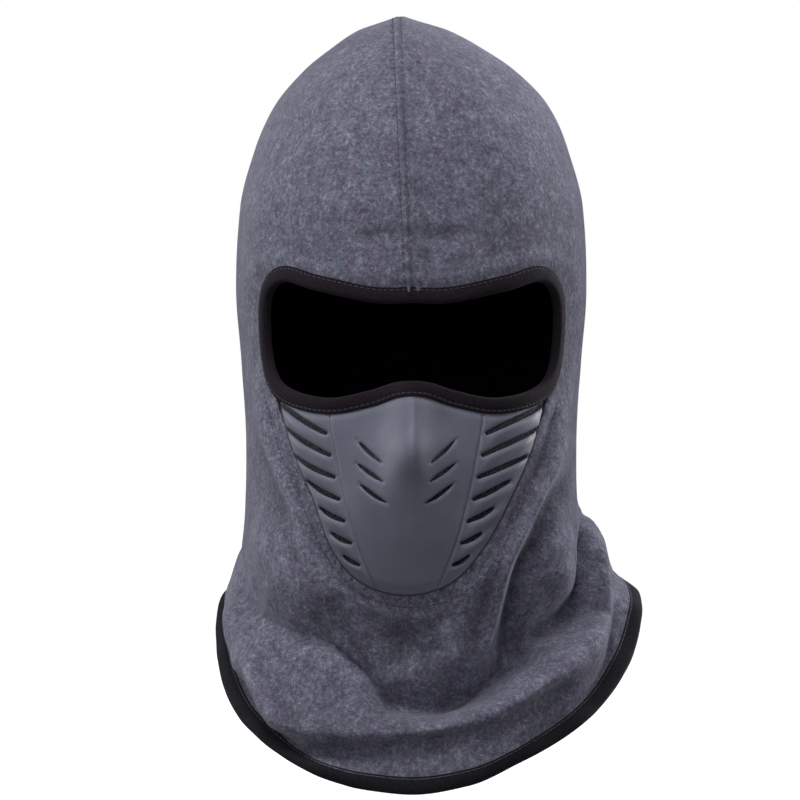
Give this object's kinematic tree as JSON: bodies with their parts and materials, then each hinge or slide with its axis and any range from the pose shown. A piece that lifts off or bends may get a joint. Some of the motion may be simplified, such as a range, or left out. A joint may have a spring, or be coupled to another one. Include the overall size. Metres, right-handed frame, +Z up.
{
  "type": "balaclava",
  "caption": "Fleece balaclava with a crown seam, a bound eye opening, a slotted moulded half mask over the nose and mouth, and a flared neck with a bound hem.",
  "frame": {"origin": "middle of the head space, at the height of the wearer's eyes", "axes": "+Z up through the crown, -Y out of the face, +X to the wearer's left"},
  "size_m": [0.226, 0.2532, 0.4064],
  "materials": {
    "fleece": "grey heather brushed fleece, matte",
    "lining": "black microfleece",
    "mask": "grey moulded foam rubber with a fine knit face, soft sheen",
    "mask_backing": "dark breathable mesh",
    "eye_binding": "near-black knitted stretch binding",
    "hem_binding": "near-black knitted stretch binding",
    "thread": "dark grey polyester sewing thread",
    "label": "blank white woven satin tape"
  },
  "bodies": {
    "root": {"fleece_hood": "fleece", "inner_lining": "lining", "face_mask": "mask", "mask_backing": "mask_backing", "eye_binding": "eye_binding", "hem_binding": "hem_binding", "eye_binding_thread": "thread", "hem_binding_thread": "thread", "mask_edge_thread": "thread", "crown_seam_thread": "thread", "crown_topstitch_thread": "thread", "care_label": "label"}
  },
  "joints": []
}
